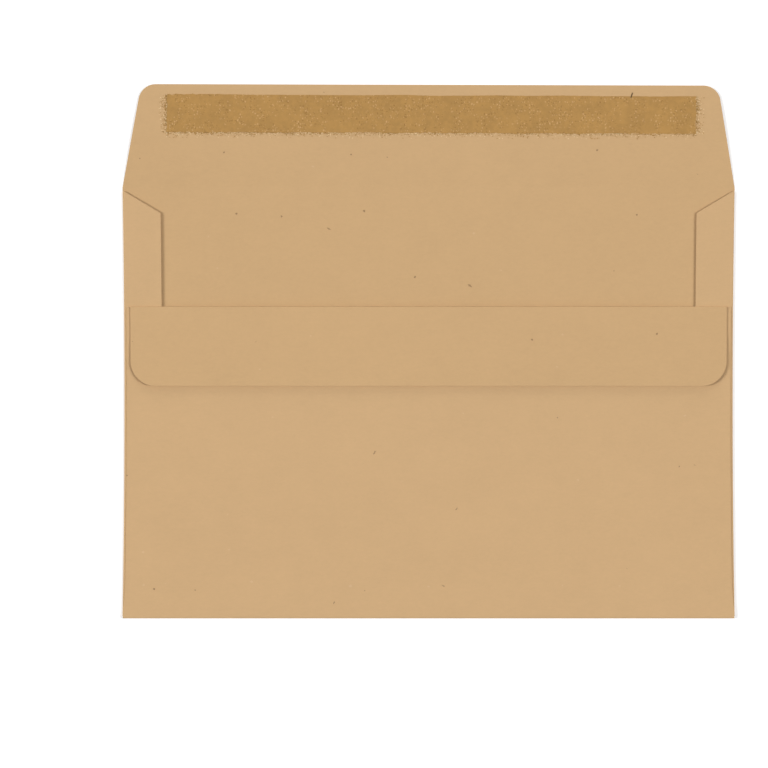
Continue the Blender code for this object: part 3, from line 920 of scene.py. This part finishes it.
class ENVELOPE_OT_latex_strips(Operator):
    """Lay the latex strips on the main flap and under the tuck flap"""

    bl_idname = "envelope.latex_strips"
    bl_label = "Latex Strips"

    def execute(self, context):
        scene = context.scene
        films = scene.envelope_films
        folds = Folds(scene.envelope_sheet, films)
        latex = [latex_material(scene.envelope_finish, shared_groups())] * 3
        u_low, u_high, v_low, v_high = strip_span(folds, films)
        dense = (u_low + films.strip_end_margin, u_high - films.strip_end_margin,
                 v_low + films.strip_lower_margin, v_high)
        film = [ragged_strip(films, *dense, True)] + spatter(films, *dense, films.spatter_drops, films.seed)
        thin = spatter(films, *dense, films.thin_drops, films.seed + 1)
        low = films.paper + films.clearance
        slope = math.tan(films.strip_slant)

        def slanted(outlines):
            return [[(u - films.strip_shift, v - slope * u) for u, v in outline] for outline in outlines]

        solid = folded_bodies(folds, slanted(film), low, low + films.latex)
        # The thin drops are real half-thickness latex, coloured with the painted glint
        folded_bodies(folds, slanted(thin), low, low + films.latex / 2, solid, (PAINTED_GLINT_DROP,) * 3)
        flap = add_object(context, "flap_latex_film", solid,
                          latex + [painted_glint_drop_material(scene.envelope_finish)])
        stand_for(flap, "flap_seal_strip")

        # Closed, the flap brings its strip to the same distance above the throat fold
        near = scene.envelope_sheet.throat_depth - (v_high - folds.top)
        start = folds.bottom_bend - folds.back_arc - folds.back_length - folds.tuck_arc / 2
        outline = ragged_strip(films, u_low, u_high, start - near - films.strip_depth, start - near, False)
        tuck = add_object(context, "tuck_flap_latex_film",
                          folded_bodies(folds, [outline], -films.clearance - films.latex,
                                        -films.clearance), latex)
        stand_for(tuck, "tuck_flap_seal_strip")
        return {"FINISHED"}


class ENVELOPE_OT_seam_gum(Operator):
    """Lay the gum between the side flaps and the back panel"""

    bl_idname = "envelope.seam_gum"
    bl_label = "Seam Gum"

    def execute(self, context):
        scene = context.scene
        films = scene.envelope_films
        folds = Folds(scene.envelope_sheet, films)
        gum = [gum_material(scene.envelope_finish, shared_groups())] * 3
        near = 2 * folds.side_bend + folds.side_arc + films.gum_side_margin - folds.half_width
        far = near + films.gum_width
        bottom = folds.bottom_bend + films.gum_end_margin
        top = folds.tuck_bend - films.gum_end_margin
        for side, name in ((-1, "left"), (1, "right")):
            low, high = sorted((side * near, side * far))
            outline = ragged_strip(films, low, high, bottom, top, False)
            solid = folded_bodies(folds, [outline], -films.clearance - films.gum, -films.clearance)
            piece = add_object(context, f"seam_gum_film_{name}", solid, gum)
            stand_for(piece, f"seam_gum_{name}")
        return {"FINISHED"}


class ENVELOPE_OT_studio(Operator):
    """Set the table, the camera and the soft light"""

    bl_idname = "envelope.studio"
    bl_label = "Studio"

    def execute(self, context):
        scene = context.scene
        studio = scene.envelope_studio
        self.add_table(scene)
        self.add_camera(scene, studio)
        self.add_light(scene, "left_softbox", studio.left_light, (-3.4, -0.02, 2.3), (0.5, 1.4))
        self.add_light(scene, "right_softbox", studio.right_light, (2.9, -0.02, 2.8), (0.5, 1.4))
        self.add_light(scene, "top_softbox", studio.top_light, (0.0, 3.3, 1.1), (3.6, 1.0))
        self.add_sky(scene, studio.sky)
        scene.view_settings.view_transform = "Standard"
        return {"FINISHED"}

    def add_table(self, scene):
        """A pale table that shows white and keeps soft shadows."""
        pale = 0.9
        lift = 0.25
        mesh = bpy.data.meshes.new("table")
        level = SHEET_LOW[2] - TABLE_GAP
        corners = [(x * TABLE_HALF, y * TABLE_HALF, level) for x, y in ((-1, -1), (1, -1), (1, 1), (-1, 1))]
        mesh.from_pydata(corners, [], [(0, 1, 2, 3)])
        material = bpy.data.materials.new("white_table")
        tree = bare_tree(material)
        output = put(tree, "ShaderNodeOutputMaterial")
        diffuse = put(tree, "ShaderNodeBsdfDiffuse")
        diffuse.inputs["Color"].default_value = (pale, pale, pale, 1.0)
        glow = put(tree, "ShaderNodeEmission")
        feed(tree, glow.inputs["Strength"], maths(tree, "MULTIPLY", background_rays(tree), lift))
        both = put(tree, "ShaderNodeAddShader")
        tree.links.new(diffuse.outputs[0], both.inputs[0])
        tree.links.new(glow.outputs[0], both.inputs[1])
        tree.links.new(both.outputs[0], output.inputs["Surface"])
        mesh.materials.append(material)
        table = bpy.data.objects.new("table", mesh)
        scene.collection.objects.link(table)

    def add_camera(self, scene, studio):
        """A long lens straight above the envelope."""
        data = bpy.data.cameras.new("camera")
        data.lens = studio.lens
        data.sensor_width = 36.0
        camera = bpy.data.objects.new("camera", data)
        height = studio.view_width * studio.lens / data.sensor_width
        camera.location = (studio.view_x, studio.view_y, height)
        data.clip_start = 0.05
        data.clip_end = 20.0
        scene.collection.objects.link(camera)
        scene.camera = camera

    def add_light(self, scene, name, share, place, size):
        """One soft box turned to the envelope, with its share of the light on a level white sheet."""
        data = bpy.data.lights.new(name, "AREA")
        data.shape = "RECTANGLE"
        data.size, data.size_y = size
        reach = Vector(place)
        data.energy = share * math.pi ** 2 * reach.length ** 3 / reach.z
        light = bpy.data.objects.new(name, data)
        light.location = place
        light.rotation_euler = (-reach).to_track_quat("-Z", "Y").to_euler()
        light.visible_camera = False
        scene.collection.objects.link(light)

    def add_sky(self, scene, strength):
        """Even light from all round, white where the camera sees it."""
        world = bpy.data.worlds.new("studio_sky")
        tree = bare_tree(world)
        output = put(tree, "ShaderNodeOutputWorld")
        background = put(tree, "ShaderNodeBackground")
        background.inputs["Color"].default_value = (1.0, 1.0, 1.0, 1.0)
        lift = maths(tree, "MULTIPLY", background_rays(tree), 1.0 - strength)
        feed(tree, background.inputs["Strength"], maths(tree, "ADD", lift, strength))
        tree.links.new(background.outputs[0], output.inputs["Surface"])
        scene.world = world


class ENVELOPE_PT_sidebar(Panel):
    """Envelope sizes, colours and steps in the sidebar"""

    bl_idname = "ENVELOPE_PT_sidebar"
    bl_label = "Envelope"
    bl_space_type = "VIEW_3D"
    bl_region_type = "UI"
    bl_category = "Envelope"

    def draw(self, context):
        layout = self.layout
        for operator in OPERATORS:
            layout.operator(operator.bl_idname)
        for label, name in SETTINGS:
            group = getattr(context.scene, name)
            box = layout.box()
            box.label(text=label)
            for key in group.__annotations__:
                box.prop(group, key)


OPERATORS = (
    ENVELOPE_OT_folded_sheet,
    ENVELOPE_OT_latex_strips,
    ENVELOPE_OT_seam_gum,
    ENVELOPE_OT_studio,
)
GROUPS = {
    "envelope_sheet": SheetSizes,
    "envelope_films": FilmSizes,
    "envelope_finish": Finish,
    "envelope_studio": Studio,
}
SETTINGS = (
    ("Sheet", "envelope_sheet"),
    ("Films", "envelope_films"),
    ("Finish", "envelope_finish"),
    ("Studio", "envelope_studio"),
)


def shared_groups():
    """The node groups that several materials use, made once."""
    makers = {
        "formation": ("Paper Formation", formation_group),
        "speck": ("Scattered Specks", speck_group),
        "fibre": ("Dark Fibre", fibre_group),
    }
    return {key: bpy.data.node_groups.get(name) or make() for key, (name, make) in makers.items()}


def register():
    for group in GROUPS.values():
        bpy.utils.register_class(group)
    for name, group in GROUPS.items():
        setattr(bpy.types.Scene, name, PointerProperty(type=group))
    for operator in OPERATORS:
        bpy.utils.register_class(operator)
    bpy.utils.register_class(ENVELOPE_PT_sidebar)


def unregister():
    bpy.utils.unregister_class(ENVELOPE_PT_sidebar)
    for operator in reversed(OPERATORS):
        bpy.utils.unregister_class(operator)
    for name in GROUPS:
        delattr(bpy.types.Scene, name)
    for group in reversed(list(GROUPS.values())):
        bpy.utils.unregister_class(group)


def main():
    register()
    bpy.ops.envelope.folded_sheet()
    bpy.ops.envelope.latex_strips()
    bpy.ops.envelope.seam_gum()
    bpy.ops.envelope.studio()


if __name__ == "__main__":
    main()
